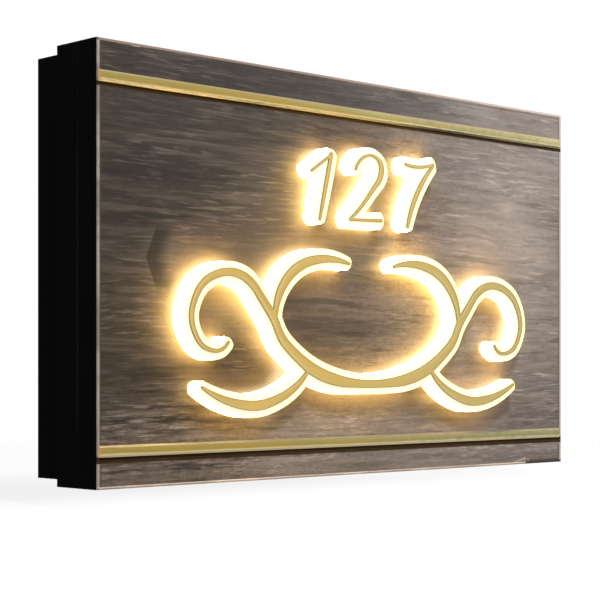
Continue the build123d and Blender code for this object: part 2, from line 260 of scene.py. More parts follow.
def woodFigure(paint, x, z):  # the layers of the printed figure, by name
    clouds = paint.grain(x * 9, 7.4, z * 13, 2.0)
    # the lines are more wavy to the right
    right = paint.step(x + 0.12 * (clouds - 0.5) - 0.15 * z, -0.08, 0.17)
    sway = paint.grain(x * 7, 3.1, z * 16, 2.0) - 0.5
    wiggle = paint.grain(x * 75, 6.3, z * 110, 2.0) - 0.5
    flow = z + 0.007 * sway + (0.0008 + 0.0009 * right) * wiggle
    layers = {"clouds": clouds, "right": right}
    layers["figure"] = paint.grain(x * 13, 4.6, flow * 170, 2.5)
    layers["fine"] = paint.grain(x * 170, 2.2, flow * 800, 3.0, 0.6)
    layers["speckle"] = paint.step(paint.grain(x * 300, 23.1, z * 330, 2.0), 0.45, 0.75)
    for name, (along, across, seed, detail, start, full) in boardLook["layers"].items():
        layers[name] = paint.step(paint.grain(x * along, seed, flow * across, detail), start, full)
    layers["dashes"] = layers["dashes"] * (0.3 + 0.7 * layers["crowd"])
    return SimpleNamespace(**layers)


def woodColour(paint, x, z, wood, clear):
    look = boardLook
    right = wood.right
    # dark at the left; paler at the right, where the colour is a painted sheen, duller low down on that side
    pale = paint.mix(wood.patch, look["light"], look["coolSheen"])
    dull = paint.step(0.06 * (wood.clouds - 0.5) - z, -0.02, 0.11)
    pale = paint.mix(dull * 0.75, pale, look["dimSheen"])
    colour = paint.mix(right * 0.85, look["mid"], pale)
    # painted light: warmer and lighter towards the lower edge
    foot = paint.step(0.02 * (wood.clouds - 0.5) - z, 0.062, 0.122)
    warmth = 0.42 + 0.33 * paint.step(x, -0.17, -0.05)
    colour = paint.mix(foot * (1.0 - right) * warmth, colour, look["warmLight"])
    # dark lines, calmer to the right
    calm = 1.0 - 0.62 * right
    lines = [
        (wood.bands, 0.5),
        (paint.step(wood.figure, 0.48, 0.70), 0.7),
        (paint.step(wood.fine, 0.35, 0.75), 0.4),
        (wood.speckle, 0.35),
        (wood.pores, 0.6),
    ]
    for line, share in lines:
        colour = paint.mix(line * share * calm, colour, look["dark"])
    # pale flecks and dark veins, none close to the characters
    fleck = paint.mix(right * right, paint.mix(foot, look["pale"], look["husk"]), look["blond"])
    chaff = wood.chaff * foot * (0.4 + 0.6 * paint.step(x - 2.0 * z, 0.06, 0.16))
    flecks = [
        (wood.smear * (0.30 - 0.12 * right), fleck),
        (wood.hairs * (0.42 - 0.16 * right), fleck),
        (wood.dashes * (0.68 - 0.2 * foot) * calm, fleck),
        (wood.sparse * right * (0.14 + 0.40 * wood.crowd), look["blond"]),
        (chaff * (0.16 + 0.34 * wood.crowd), look["chaff"]),
        (wood.veins * right * 0.68, look["vein"]),
    ]
    for share, tint in flecks:
        colour = paint.mix(share * clear, colour, tint)
    # soft tone patches, some of them painted sheen and painted light
    for toneX, toneZ, wide, tall, share, tone in look["tones"]:
        away = ((x - toneX) / wide) ** 2.0 + ((z - toneZ) / tall) ** 2.0
        away = away + 1.6 * (wood.clouds - 0.5) + 0.8 * (wood.figure - 0.5)
        colour = paint.mix((1.0 - paint.step(away, 0.1, 1.0)) * share, colour, look[tone])
    # a dark wedge in the figure, sharp on its left and soft on its right
    knot = look["knot"]
    level = abs(z - knot["z"])
    lean = x - knot["x"] - knot["lean"] * level
    wedge = paint.span(lean, (0.0, knot["sharp"]), (0.3 * knot["wide"], 1.1 * knot["wide"]))
    wedge = wedge * (1.0 - paint.step(level, 0.6 * knot["tall"], knot["tall"]))
    return paint.mix(wedge * 0.85, colour, look["dark"])


def chippedFoot(paint, x, z, fine):  # where the laminate is gone at the lower right, and its curled skin
    chip, curl = boardLook["chip"], boardLook["curl"]
    chipped = paint.step(x, *beside(chip["x"], chip["start"]))
    chipped = chipped * (1.0 - paint.step(z, *beside(chip["z"], chip["top"])))
    rise = curl["drop"] - curl["climb"] * paint.step(x, *beside(chip["x"], curl["slope"]))
    away = abs(z + curl["ragged"] * (fine - 0.5) - chip["z"] + rise)
    curled = 1.0 - paint.step(away, *curl["half"])
    curled = curled * paint.span(x, beside(chip["x"], curl["start"]), beside(chip["x"], curl["end"]))
    return chipped, curled


def edgeLines(paint, x, z, right, high, colour):  # what runs along the edges of the face
    look = boardLook
    brown = paint.step(-x, *beside(high.x, look["brownLine"]))
    colour = paint.mix(brown * 0.5, colour, look["stain"])
    dark = paint.span(z, *[beside(high.z, pair) for pair in look["darkLine"]])
    colour = paint.mix(dark * right * 0.45, colour, look["dark"])
    # pinkish band at the right, with a dark line inside it that is painted shade
    band = paint.step(x, *beside(high.x, look["pinkBand"]))
    inside = paint.step(x, *beside(high.x, look["insideShadeLine"])) * (1.0 - band)
    colour = paint.mix(inside * 0.5, colour, look["dark"])
    return paint.mix(band, colour, look["pink"])


def paleCore(paint, x, y, z, right, chipped, high):  # where the front edge rounds over, and its colour
    look = boardLook
    arris = look["arris"]
    edgeX = paint.step(abs(x), high.x - arris, high.x - 0.8 * arris)
    edgeZ = paint.step(abs(z), high.z - 1.3 * arris, high.z - arris)
    worn = paint.step(paint.grain(x * 22, y * 40, z * 45, 3.0), 0.42, 0.60)
    core = paint.mix(worn * 0.45, look["core"], look["stain"])
    core = paint.mix(right, core, look["pink"])
    top = edgeZ * paint.step(z, 0.0, 0.01)
    core = paint.mix(top, core, paint.mix(right, look["tan"], look["pink"]))
    bottom = edgeZ * paint.step(-z, 0.0, 0.01)
    core = paint.mix(bottom * (0.4 + 0.6 * worn), core, look["fresh"])
    return paint.larger(edgeX, edgeZ), paint.mix(chipped, core, look["stain"])


def paintedHaloGlow(paint):  # painted glow: the board itself emits close to the lit walls, found on the side that looks to them
    look = boardLook
    normal = paint.add("NewGeometry", {}, {}, "Normal")
    leaning = paint.add("VectorMath", {"operation": "ADD"}, {0: normal, 1: look["spillLean"]})
    leaning = paint.add("VectorMath", {"operation": "NORMALIZE"}, {0: leaning})
    near = paint.step(1.0 - paint.openness(look["spillReach"], Normal=leaning), 0.45, 0.85)
    return paint.mix(near, look["none"], paint.mix(near, look["amber"], look["spill"]))


def glueAndShadowLine(paint, z, bar, drop):  # dark line below a bar: painted shadow of the bar, and glue
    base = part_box(bar)[0].z
    rise, fall = boardLook["glueAndShadowFade"]
    return paint.span(z, beside(base - drop, rise), beside(base, fall))


def boardFinish():
    look = boardLook
    low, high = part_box("front_board")
    paint = newPaint("boardLaminate")
    x, y, z = paint.place()
    wood = woodFigure(paint, x, z)
    clear = paint.step(paint.openness(look["clearance"]), 0.80, 0.99)
    colour = woodColour(paint, x, z, wood, clear)
    chipped, curled = chippedFoot(paint, x, z, wood.fine)
    colour = paint.mix(chipped * 0.85, colour, look["stain"])
    colour = paint.mix(curled * 0.8, colour, look["pink"])
    colour = edgeLines(paint, x, z, wood.right, high, colour)
    for spotX, spotZ, wide, tall in look["wear"]:
        away = ((x - spotX) / wide) ** 2.0 + ((z - spotZ) / tall) ** 2.0
        spot = 1.0 - paint.step(away + 1.2 * (wood.figure - 0.5), 0.4, 1.0)
        colour = paint.mix(spot * 0.7, colour, look["pink"])
    edge, core = paleCore(paint, x, y, z, wood.right, chipped, high)
    height = (wood.dashes * 0.5 - wood.pores + 0.3 * wood.fine) * clear
    front = paint.skin(
        {
            "Base Color": paint.mix(edge, colour, core),
            "Roughness": 0.40 + 0.16 * wood.fine,
            "Specular IOR Level": 0.11,
            "Emission Color": paintedHaloGlow(paint),
            "Emission Strength": 1.0,
            "Normal": paint.bump(height, 0.10, 0.0003),
        }
    )
    # a dark flat skin for the painted shadow and glue below the bars
    joint = paint.skin(
        {
            "Base Color": look["glueAndShadow"],
            "Roughness": 0.6 + 0.2 * wood.fine,
            "Specular IOR Level": 0.0,
        }
    )
    upper, lower = [glueAndShadowLine(paint, z, *line) for line in look["glueAndShadowLines"].items()]
    front = paint.blend((upper + lower) * 0.93, front, joint)
    grit = paint.grain(x * 900, y * 900, z * 900)
    side = paint.skin(
        {
            "Base Color": look["side"],
            "Roughness": 0.45 + 0.2 * grit,
            "Specular IOR Level": 0.008,
            "Normal": paint.bump(grit, 0.1, 0.0002),
        }
    )
    back = paint.step(y, low.y + 0.75 * look["arris"], low.y + 0.9 * look["arris"])
    return paint.close(paint.blend(back, front, side))


dress(boardFinish(), "front_board")
print("board dressed")

# gold: mirror acrylic on the characters and in two bars, with paler cut edges on the bars; painted
# highlights, reflections and shade on both
goldLook = {
    "gold": rgb(0.69, 0.475, 0.145),
    "brass": rgb(0.40, 0.275, 0.060),
    "olive": rgb(0.34, 0.255, 0.060),
    "green": rgb(0.290, 0.282, 0.138),
    "bevel": rgb(0.43, 0.350, 0.175),
    "underHighlight": rgb(0.61, 0.520, 0.310),
    "underHighlightRight": rgb(0.45, 0.400, 0.230),
    "upperHighlight": rgb(0.38, 0.350, 0.215),
    "blotch": rgb(0.215, 0.225, 0.090),
    "shaded": rgb(0.065, 0.057, 0.038),
    "end": rgb(0.60, 0.29, 0.080),
    "cut": rgb(0.300, 0.230, 0.085),
    "faceGreen": rgb(0.51, 0.415, 0.165),
    "shade": rgb(0.400, 0.300, 0.060),
    "shine": rgb(0.86, 0.70, 0.330),
    "rough": 0.14,
    "faceHaze": 0.2,
    "shadeReach": 0.0045,
    "outlineReach": 0.0014,
}


def hazyGold(paint, x, y, z, base, right, share):  # what the bars and the faces have in common
    look = goldLook
    haze = paint.grain(x * 25, y * 25, z * 60, 3.0)
    rub = paint.grain(x * 60, y * 400, z * 900, 2.0)
    colour = paint.mix(paint.step(haze, 0.35, 0.7) * share, look[base], look["olive"])
    # greener to the right: a painted reflection
    colour = paint.mix(paint.step(x, -0.1, 0.22) * 0.9, colour, look[right])
    rim = paint.step(1.0 + paint.normal("Y"), 0.1, 0.2)
    finish = {
        "Roughness": look["rough"] + 0.1 * haze + 0.3 * rim,
        "Specular IOR Level": 0.2,
        "Normal": paint.bump(rub, 0.04, 0.0002),
    }
    return SimpleNamespace(rub=rub, rim=rim, colour=colour, finish=finish)


def barFinish(bar):
    look = goldLook
    low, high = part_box(bar)
    middle = (low.z + high.z) / 2
    paint = newPaint("goldBar_" + bar)
    x, y, z = paint.place()
    gold = hazyGold(paint, x, y, z, "brass", "green", 1.0)
    # painted highlights make the face paler along its upper and lower thirds, with small blotches to the
    # right
    rise = z - middle + 0.0008 * (gold.rub - 0.5)
    upper = paint.step(rise, 0.0002, 0.0016) * (0.25 + 0.5 * paint.step(x, -0.16, 0.10))
    colour = paint.mix(upper, gold.colour, look["upperHighlight"])
    underHighlight = look["underHighlight"]
    far = 0.45 * paint.step(abs(x), 0.14, 0.19)
    if middle > 0:
        underHighlight = paint.mix(paint.step(x, 0.02, 0.15), look["underHighlight"], look["underHighlightRight"])
        far = paint.step(abs(x), 0.09, 0.17)
    colour = paint.mix(paint.step(-rise, 0.0010, 0.0018) * 0.75, colour, underHighlight)
    blotch = paint.step(paint.grain(x * 130, 3.3, z * 240, 2.0), 0.44, 0.64) * paint.step(x, -0.05, 0.12)
    colour = paint.mix(blotch * 0.45, colour, look["blotch"])
    # the lower bevel is paler, a painted reflection, and a bevel that faces the characters is darker,
    # painted shade, less so at the ends
    tilt = paint.normal("Z")
    bevel = paint.mix(paint.step(-tilt, 0.3, 0.5), look["bevel"], underHighlight)
    inward = paint.step(-30.0 * tilt * z, 0.3, 0.6)
    bevel = paint.mix(inward * (1.0 - 0.9 * far), bevel, look["shaded"])
    colour = paint.mix(gold.rim, colour, bevel)
    colour = paint.mix(paint.step(abs(paint.normal("X")), 0.9, 0.95), colour, look["end"])
    gold.finish["Base Color"] = colour
    gold.finish["Metallic"] = 1.0 - 0.9 * gold.rim * inward
    return paint.surface(gold.finish)


def faceFinish():
    look = goldLook
    paint = newPaint("goldFace")
    gold = hazyGold(paint, *paint.place(), "gold", "faceGreen", look["faceHaze"])
    # painted shade towards the right edges and a painted highlight towards the left ones, with a thin
    # painted shadow line all round
    turn = paint.rounded(look["shadeReach"], "X")
    colour = paint.mix(paint.step(turn, 0.04, 0.40) * 0.6, gold.colour, look["shade"])
    colour = paint.mix(paint.step(-turn, 0.06, 0.45) * 0.5, colour, look["shine"])
    outline = paint.step(1.0 + paint.rounded(look["outlineReach"], "Y"), 0.01, 0.10)
    gold.finish["Base Color"] = paint.mix(paint.larger(outline, gold.rim), colour, look["cut"])
    gold.finish["Metallic"] = 1.0
    return paint.surface(gold.finish)


characters = ["numeral_one", "numeral_two", "numeral_seven", "flourish"]
for bar in ("upper_gold_bar", "lower_gold_bar"):
    dress(barFinish(bar), bar)
dress(faceFinish(), *[name + "_face" for name in characters])
print("gold dressed")

# opal: lit acrylic, strong on the sides and milder on the rim around each gold face
opalLook = {
    "body": rgb(0.42, 0.38, 0.27),
    "leftGlow": rgb(1.0, 0.68, 0.23),
    "sideGlow": rgb(0.778, 0.529, 0.179),
    "faint": rgb(0.187, 0.1244, 0.0404),
    "dim": rgb(0.0389, 0.0280, 0.0109),
    "rimGlow": rgb(0.01556, 0.01439, 0.00972),
    "rimEdge": rgb(0.01478, 0.01244, 0.00327),
    "strength": 54.0,
    "edgeReach": 0.0042,
}


def opalFinish():
    look = opalLook
    paint = newPaint("litOpal")
    x, y, z = paint.place()
    across = paint.normal("X")
    # the sides glow less to the right, low down, and where they look right
    bright = (1.0 - paint.step(x, -0.06, 0.16)) * (1.0 - 0.72 * paint.step(-z, 0.045, 0.078))
    glow = paint.mix(paint.step(-across, 0.2, 0.8), look["sideGlow"], look["leftGlow"])
    sides = paint.mix(bright, look["faint"], glow)
    sides = paint.mix(paint.step(across, -0.1, 0.7) * 0.85, sides, look["dim"])
    rightEdge = paint.step(paint.rounded(look["edgeReach"], "X"), 0.02, 0.25)
    rim = paint.mix(rightEdge, look["rimGlow"], look["rimEdge"])
    front = paint.step(-paint.normal("Y"), 0.7, 0.95)
    return paint.surface(
        {
            "Base Color": look["body"],
            "Roughness": 0.3,
            "Emission Color": paint.mix(front, sides, rim),
            "Emission Strength": look["strength"],
        }
    )


dress(opalFinish(), *characters)
print("opal dressed")

# black paint on the box, with a fine powder texture, and grey primer on the back of the tray
blackLook = {
    "paint": rgb(0.0016, 0.0016, 0.0014),
    "worn": rgb(0.003, 0.003, 0.0027),
    "primer": rgb(0.105, 0.107, 0.110),
    "thin": rgb(0.078, 0.080, 0.084),
    "rough": 0.5,
    "shine": 0.008,
    "overspray": (-0.010, -0.002),  # measured from the edge
    "backFace": (-0.004, -0.003),
}


def blackCoat(paint, cloud, peel):
    look = blackLook
    return paint.skin(
        {
            "Base Color": paint.mix(paint.step(cloud, 0.4, 0.7), look["paint"], look["worn"]),
            "Roughness": look["rough"] + 0.15 * cloud,
            "Specular IOR Level": look["shine"],
            "Normal": paint.bump(peel, 0.12, 0.0002),
        }
    )


def blackFinish():
    paint = newPaint("blackPowderCoat")
    x, y, z = paint.place()
    cloud = paint.grain(x * 20, y * 20, z * 20, 3.0)
    peel = paint.grain(x * 900, y * 900, z * 900, 2.0)
    return paint.close(blackCoat(paint, cloud, peel))


def trayFinish():  # black outside, grey on the back that lies against the wall
    look = blackLook
    paint = newPaint("trayPaint")
    x, y, z = paint.place()
    cloud = paint.grain(x * 14, y * 20, z * 22, 4.0, 0.6)
    peel = paint.grain(x * 700, y * 700, z * 700, 2.0)
    drag = paint.grain(x * 6, 1.9, z * 260, 2.0)
    streaks = paint.step(0.6 * cloud + 0.4 * drag, 0.38, 0.62)
    grey = paint.skin(
        {
            "Base Color": paint.mix(streaks, look["primer"], look["thin"]),
            "Roughness": 0.5 + 0.2 * drag,
            "Specular IOR Level": 0.3,
            "Normal": paint.bump(peel + drag, 0.10, 0.0002),
        }
    )
    # overspray leaves a soft black border round the back
    low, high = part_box("wall_tray")
    border = paint.step(abs(x), *beside(high.x, look["overspray"]))
    border = border + paint.step(abs(z), *beside(high.z, look["overspray"]))
    back = paint.step(paint.normal("Y"), 0.7, 0.9) * paint.step(y, *look["backFace"])
    back = back * (1.0 - paint.step(border + 0.8 * (cloud - 0.5), 0.2, 0.9))
    return paint.close(paint.blend(back, blackCoat(paint, cloud, peel), grey))


dress(blackFinish(), "rear_case", "inner_frame", "cover_frame")
dress(trayFinish(), "wall_tray")
print("box dressed")

# seam gasket: dark, glowing faintly over part of its length; the glow is painted light for light that
# escapes along the seam
seamLook = {
    "rubber": rgb(0.02, 0.019, 0.016),
    "seamGlow": rgb(1.0, 0.95, 0.80),
    "none": rgb(0.0, 0.0, 0.0),
    "strength": 0.02,
    "top": 0.085,
    "bottom": -0.110,
    "fade": 0.03,
}


def seamFinish():
    look = seamLook
    top, bottom, fade = look["top"], look["bottom"], look["fade"]
    paint = newPaint("seamGasket")
    x, y, z = paint.place()
    lit = paint.span(z, (bottom, bottom + fade), (top - fade, top))
    lit = lit * (0.6 + 0.8 * paint.grain(x * 40, 0.5, z * 40))
    return paint.surface(
        {
            "Base Color": look["rubber"],
            "Roughness": 0.7,
            "Emission Color": paint.mix(lit, look["none"], look["seamGlow"]),
            "Emission Strength": look["strength"],
        }
    )


dress(seamFinish(), "seam_gasket")
print("seam dressed")

# plain finishes: two tones, roughness, waves per metre, metal, and the CAD pieces that have it
rows = range(1, 6)
plainLooks = {
    "whiteSheet": (rgb(0.74, 0.73, 0.70), rgb(0.70, 0.69, 0.66), 0.45, 60, 0.0, ["led_board"]),
    "opalSheet": (rgb(0.80, 0.77, 0.70), rgb(0.76, 0.73, 0.66), 0.3, 30, 0.0, ["backing_sheet"]),
    "driverShell": (rgb(0.56, 0.56, 0.54), rgb(0.52, 0.52, 0.50), 0.5, 300, 0.0, ["driver_case"]),
    "driverLid": (rgb(0.47, 0.47, 0.46), rgb(0.44, 0.44, 0.43), 0.45, 300, 0.0, ["driver_lid"]),
    "nylonBlock": (rgb(0.55, 0.52, 0.44), rgb(0.50, 0.47, 0.40), 0.4, 200, 0.0, ["terminal_block"]),
    "redLead": (
        rgb(0.36, 0.02, 0.015), rgb(0.30, 0.015, 0.012), 0.4, 150, 0.0, ["jumper_leads", "output_lead"]
    ),
    "blackLead": (rgb(0.012, 0.012, 0.012), rgb(0.018, 0.018, 0.018), 0.4, 150, 0.0, ["input_leads"]),
    "blackRubber": (rgb(0.010, 0.010, 0.010), rgb(0.016, 0.016, 0.016), 0.7, 250, 0.0, ["cable_bush"]),
    "rawWood": (rgb(0.42, 0.27, 0.14), rgb(0.34, 0.21, 0.10), 0.7, 90, 0.0, ["corner_cleats"]),
    "chipBody": (
        rgb(0.74, 0.72, 0.66), rgb(0.68, 0.66, 0.60), 0.3, 400, 0.0, [f"led_chips_{row}" for row in rows]
    ),
    "blackSteel": (
        rgb(0.03, 0.03, 0.03), rgb(0.05, 0.05, 0.05), 0.35, 400, 0.9,
        ["case_screws", "cover_screws", "cover_nuts"],
    ),
    # these are on pieces made below
    "screwBlack": (rgb(0.030, 0.030, 0.030), rgb(0.055, 0.055, 0.055), 0.32, 500, 0.9, []),
    "screwZinc": (rgb(0.50, 0.50, 0.49), rgb(0.40, 0.40, 0.40), 0.28, 600, 1.0, []),
    "screwBrass": (rgb(0.60, 0.42, 0.15), rgb(0.50, 0.34, 0.11), 0.3, 600, 1.0, []),
    "tinSolder": (rgb(0.58, 0.58, 0.57), rgb(0.46, 0.46, 0.45), 0.22, 900, 1.0, []),
    "padCopper": (rgb(0.62, 0.34, 0.17), rgb(0.54, 0.28, 0.13), 0.3, 900, 1.0, []),
    "resistorBlack": (rgb(0.015, 0.015, 0.016), rgb(0.022, 0.022, 0.023), 0.35, 900, 0.0, []),
    "edgingRubber": (rgb(0.010, 0.010, 0.010), rgb(0.016, 0.016, 0.016), 0.65, 250, 0.0, []),
}


def plainFinish(name):
    colour, partner, rough, size, metal, names = plainLooks[name]
    paint = newPaint(name)
    x, y, z = paint.place()
    cloud = paint.grain(x * size, y * size, z * size, 3.0)
    material = paint.surface(
        {
            "Base Color": paint.mix(paint.step(cloud, 0.35, 0.7), colour, partner),
            "Roughness": rough + 0.1 * cloud,
            "Metallic": metal,
            "Normal": paint.bump(cloud, 0.2, 0.0001),
        }
    )
    dress(material, *names)
    return material


plain = {name: plainFinish(name) for name in plainLooks}

# led rows: white solder mask with two printed rails and a cut mark halfway between the chips
stripLook = {
    "mask": rgb(0.70, 0.69, 0.65),
    "rail": rgb(0.58, 0.55, 0.47),
    "mark": rgb(0.10, 0.10, 0.10),
    "pitch": 0.036,
    "chipLength": 0.005,
    "rails": ((0.0028, 0.0030), (0.0042, 0.0044)),
    "markHalf": (0.00015, 0.00025),
    "face": -0.032,
}


def rowPlaces(row):  # level of the row, and where its chips and its cut marks are
    low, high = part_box(f"led_chips_{row}")
    pitch = stripLook["pitch"]
    count = 1 + round((high.x - low.x - stripLook["chipLength"]) / pitch)
    chips = [(k - (count - 1) / 2) * pitch for k in range(count)]
    marks = [(k - count / 2) * pitch for k in range(1, count)]
    return (low.z + high.z) / 2, chips, marks


def stripFinish(row):
    look = stripLook
    level, chips, marks = rowPlaces(row)
    paint = newPaint(f"stripMask_{row}")
    x, y, z = paint.place()
    cloud = paint.grain(x * 120, y * 120, z * 120, 3.0)
    rail = paint.span(abs(z - level), *look["rails"])
    colour = paint.mix(rail * (0.6 + 0.4 * cloud), look["mask"], look["rail"])
    fromMark = paint.add("Math", {"operation": "PINGPONG"}, {0: x - marks[0], 1: look["pitch"] / 2})
    colour = paint.mix(1.0 - paint.step(fromMark, *look["markHalf"]), colour, look["mark"])
    return paint.surface(
        {
            "Base Color": colour,
            "Roughness": 0.32 + 0.1 * cloud,
            "Normal": paint.bump(rail + 0.2 * cloud, 0.25, 0.0001),
        }
    )


chipLook = {"phosphor": rgb(0.85, 0.62, 0.15), "glow": rgb(1.0, 0.70, 0.32), "strength": 6.0}


def chipFinish():
    look = chipLook
    paint = newPaint("ledPhosphor")
    x, y, z = paint.place()
    cloud = paint.grain(x * 900, y * 900, z * 900)
    return paint.surface(
        {
            "Base Color": paint.mix(cloud, look["phosphor"], look["glow"]),
            "Roughness": 0.3,
            "Emission Color": look["glow"],
            "Emission Strength": look["strength"],
        }
    )


for row in rows:
    dress(stripFinish(row), f"led_strip_{row}")
print("inside dressed")

# eased edges on the mouldings and the leads, by width
easedEdges = {
    0.0005: ["jumper_leads", "input_leads", "output_lead", "terminal_block", "driver_lid"],
    0.0010: ["driver_case"],
}


def easeEdges(width, names):
    for name in names:
        nodes[name].modifiers.new("joined", "WELD").merge_threshold = 0.00001
        eased = nodes[name].modifiers.new("eased", "BEVEL")
        eased.width = width
        eased.segments = 2
        eased.limit_method = "ANGLE"
        eased.angle_limit = math.radians(50)


for width, names in easedEdges.items():
    easeEdges(width, names)
print("edges eased")

# small turned, cut and raised forms, in metres
forward = (0, -1, 0)
bothWays = (-1, 1)


def facing(along, twist=0.0):  # three axes, the first along a line
    along = Vector(along)
    across = Vector((math.cos(twist), 0, 0)) + along.cross((1, 0, 0)) * math.sin(twist)
    return along, across, along.cross(across)


def turned(form, spot, along, profile, count=24):  # radius and rise, spun around a line
    along, across, third = facing(along)
    rings = []
    for radius, rise in profile:
        centre = Vector(spot) + along * rise
        angles = [2 * math.pi * k / count for k in range(count if radius else 1)]
        ring = [centre + radius * (across * math.cos(angle) + third * math.sin(angle)) for angle in angles]
        rings.append([form.verts.new(corner) for corner in ring])
    for first, second in zip(rings, rings[1:]):
        for k in range(count):
            here = [first[k % len(first)], first[(k + 1) % count % len(first)]]
            there = [second[(k + 1) % count % len(second)], second[k % len(second)]]
            form.faces.new(list(dict.fromkeys(here + there)))


def raised(form, spot, along, outline, start, end, twist=0.0):  # a flat outline, lifted from start to end
    along, across, third = facing(along, twist)
    flat = [Vector(spot) + across * u + third * v for u, v in outline]
    lower, upper = [[form.verts.new(corner + along * rise) for corner in flat] for rise in (start, end)]
    faces = [form.faces.new(lower), form.faces.new(upper)]
    for k in range(len(flat)):
        faces.append(form.faces.new((lower[k - 1], lower[k], upper[k], upper[k - 1])))
    return faces


def crossOutline(reach, half):
    outline = []
    arm = [(half, half), (half, reach), (-half, reach)]
    for turn in range(4):
        outline += arm
        arm = [(-v, u) for u, v in arm]
    return outline


def blockOutline(wide, tall, corner):  # a rectangle with cut corners
    u, v = wide / 2, tall / 2
    right = [(u, corner - v), (u, v - corner), (u - corner, v), (corner - u, v)]
    return right + [(-a, -b) for a, b in right]


def newPiece(name, form, *materials):
    bmesh.ops.remove_doubles(form, verts=form.verts, dist=0.0000005)
    bmesh.ops.recalc_face_normals(form, faces=form.faces)
    mesh = bpy.data.meshes.new(name)
    form.to_mesh(mesh)
    form.free()
    for material in materials:
        mesh.materials.append(material)
    piece = bpy.data.objects.new(name, mesh)
    bpy.context.scene.collection.objects.link(piece)
    return piece


def settle(piece, body, finish, *replaced):
    piece.data.shade_smooth()
    piece.data.set_sharp_from_angle(angle=math.radians(35))
    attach(piece, body)
    if replaced:
        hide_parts(*replaced)


# screws: a turned head and shank, with a cross or a slot cut into the head
screwLooks = {
    "cover": {
        "head": 0.0028, "rise": 0.0012, "shank": 0.0015,
        "reach": 0.0035, "cross": 0.0017, "half": 0.00032,
    },
    "case": {
        "head": 0.0040, "rise": 0.0026, "shank": 0.0020,
        "reach": 0.0077, "cross": 0.0024, "half": 0.00045,
    },
    "lid": {
        "head": 0.0020, "rise": 0.0010, "shank": 0.0009,
        "reach": 0.0012, "cross": 0.0012, "half": 0.00024,
    },
    "ear": {
        "head": 0.0030, "rise": 0.0014, "shank": 0.0014,
        "reach": 0.0020, "cross": 0.0018, "half": 0.00034,
    },
    "pole": {
        "head": 0.0022, "rise": 0.0009, "shank": 0.0012,
        "reach": 0.0020, "cross": 0.0030, "half": 0.00030,
    },
}
headCrown = [(1.0, 0.35), (0.94, 0.62), (0.75, 0.86), (0.4, 0.97), (0, 1.0)]  # shares of radius and rise
recessLook = {"floor": 0.45, "top": 1.5, "twist": 0.7, "corner": 0.0001}  # first two are shares of the rise


def makeScrews(name, places, material):
    solid, cuts = bmesh.new(), bmesh.new()
    for turn, (kind, spot, along) in enumerate(places):
        look = screwLooks[kind]
        head, rise, shank, reach = look["head"], look["rise"], look["shank"], look["reach"]
        profile = [(0, -reach), (0.75 * shank, -reach), (shank, shank * 0.5 - reach), (shank, 0), (head, 0)]
        profile += [(wide * head, tall * rise) for wide, tall in headCrown]
        turned(solid, spot, along, profile)
        outline = crossOutline(look["cross"], look["half"])
        if look["cross"] > head:  # a slot from side to side
            outline = blockOutline(2 * look["cross"], 2 * look["half"], recessLook["corner"])
        floor, top = recessLook["floor"] * rise, recessLook["top"] * rise
        raised(cuts, spot, along, outline, floor, top, recessLook["twist"] * turn)
    piece = newPiece(name, solid, material)
    cutter = newPiece(name + "_cutter", cuts)
    recess = piece.modifiers.new("recess", "BOOLEAN")
    recess.object = cutter
    recess.solver = "EXACT"
    graph = bpy.context.evaluated_depsgraph_get()
    piece.data = bpy.data.meshes.new_from_object(piece.evaluated_get(graph))
    piece.modifiers.clear()
    bpy.data.objects.remove(cutter)
    return piece


def fitBoxScrews():
    low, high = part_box("cover_screws")
    seat = high.z - screwLooks["cover"]["rise"]
    depth = (low.y + high.y) / 2
    reach = high.x - screwLooks["cover"]["head"]
    places = [("cover", (u * reach, depth, v * seat), (0, 0, v)) for u in bothWays for v in bothWays]
    settle(makeScrews("coverScrewSet", places, plain["screwBlack"]), "front_cover", "steel", "cover_screws")
    low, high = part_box("case_screws")
    head = screwLooks["case"]["head"]
    seat = low.y + screwLooks["case"]["rise"]
    wide, tall = high.x - head, high.z - head
    places = [("case", (u * wide, seat, v * tall), forward) for u in bothWays for v in bothWays]
    settle(makeScrews("caseScrewSet", places, plain["screwBlack"]), "wall_box", "steel", "case_screws")


# where the screws of the driver and of the terminal block sit
driverScrews = {"inset": 0.0045, "earThickness": 0.0025, "earLift": 0.011}
poleScrews = {"across": 0.0042, "up": 0.005}


def fitDriverScrews():
    inset = driverScrews["inset"]
    low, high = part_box("driver_lid")
    levels = (low.z + inset, high.z - inset)
    places = [("lid", (x, low.y, z), forward) for x in (low.x + inset, high.x - inset) for z in levels]
    earLevel = (low.z + high.z) / 2 + driverScrews["earLift"]
    low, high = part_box("driver_case")
    earFace = high.y - driverScrews["earThickness"]
    places += [("ear", (x, earFace, earLevel), forward) for x in (low.x + inset, high.x - inset)]
    settle(makeScrews("driverScrewSet", places, plain["screwZinc"]), "wall_box", "steel")
    low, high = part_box("terminal_block")
    middle = (low + high) / 2
    columns = [middle.x + u * poleScrews["across"] for u in bothWays]
    levels = [middle.z + v * poleScrews["up"] for v in bothWays]
    places = [("pole", (x, low.y, z), forward) for x in columns for z in levels]
    settle(makeScrews("terminalScrewSet", places, plain["screwBrass"]), "wall_box", "steel")


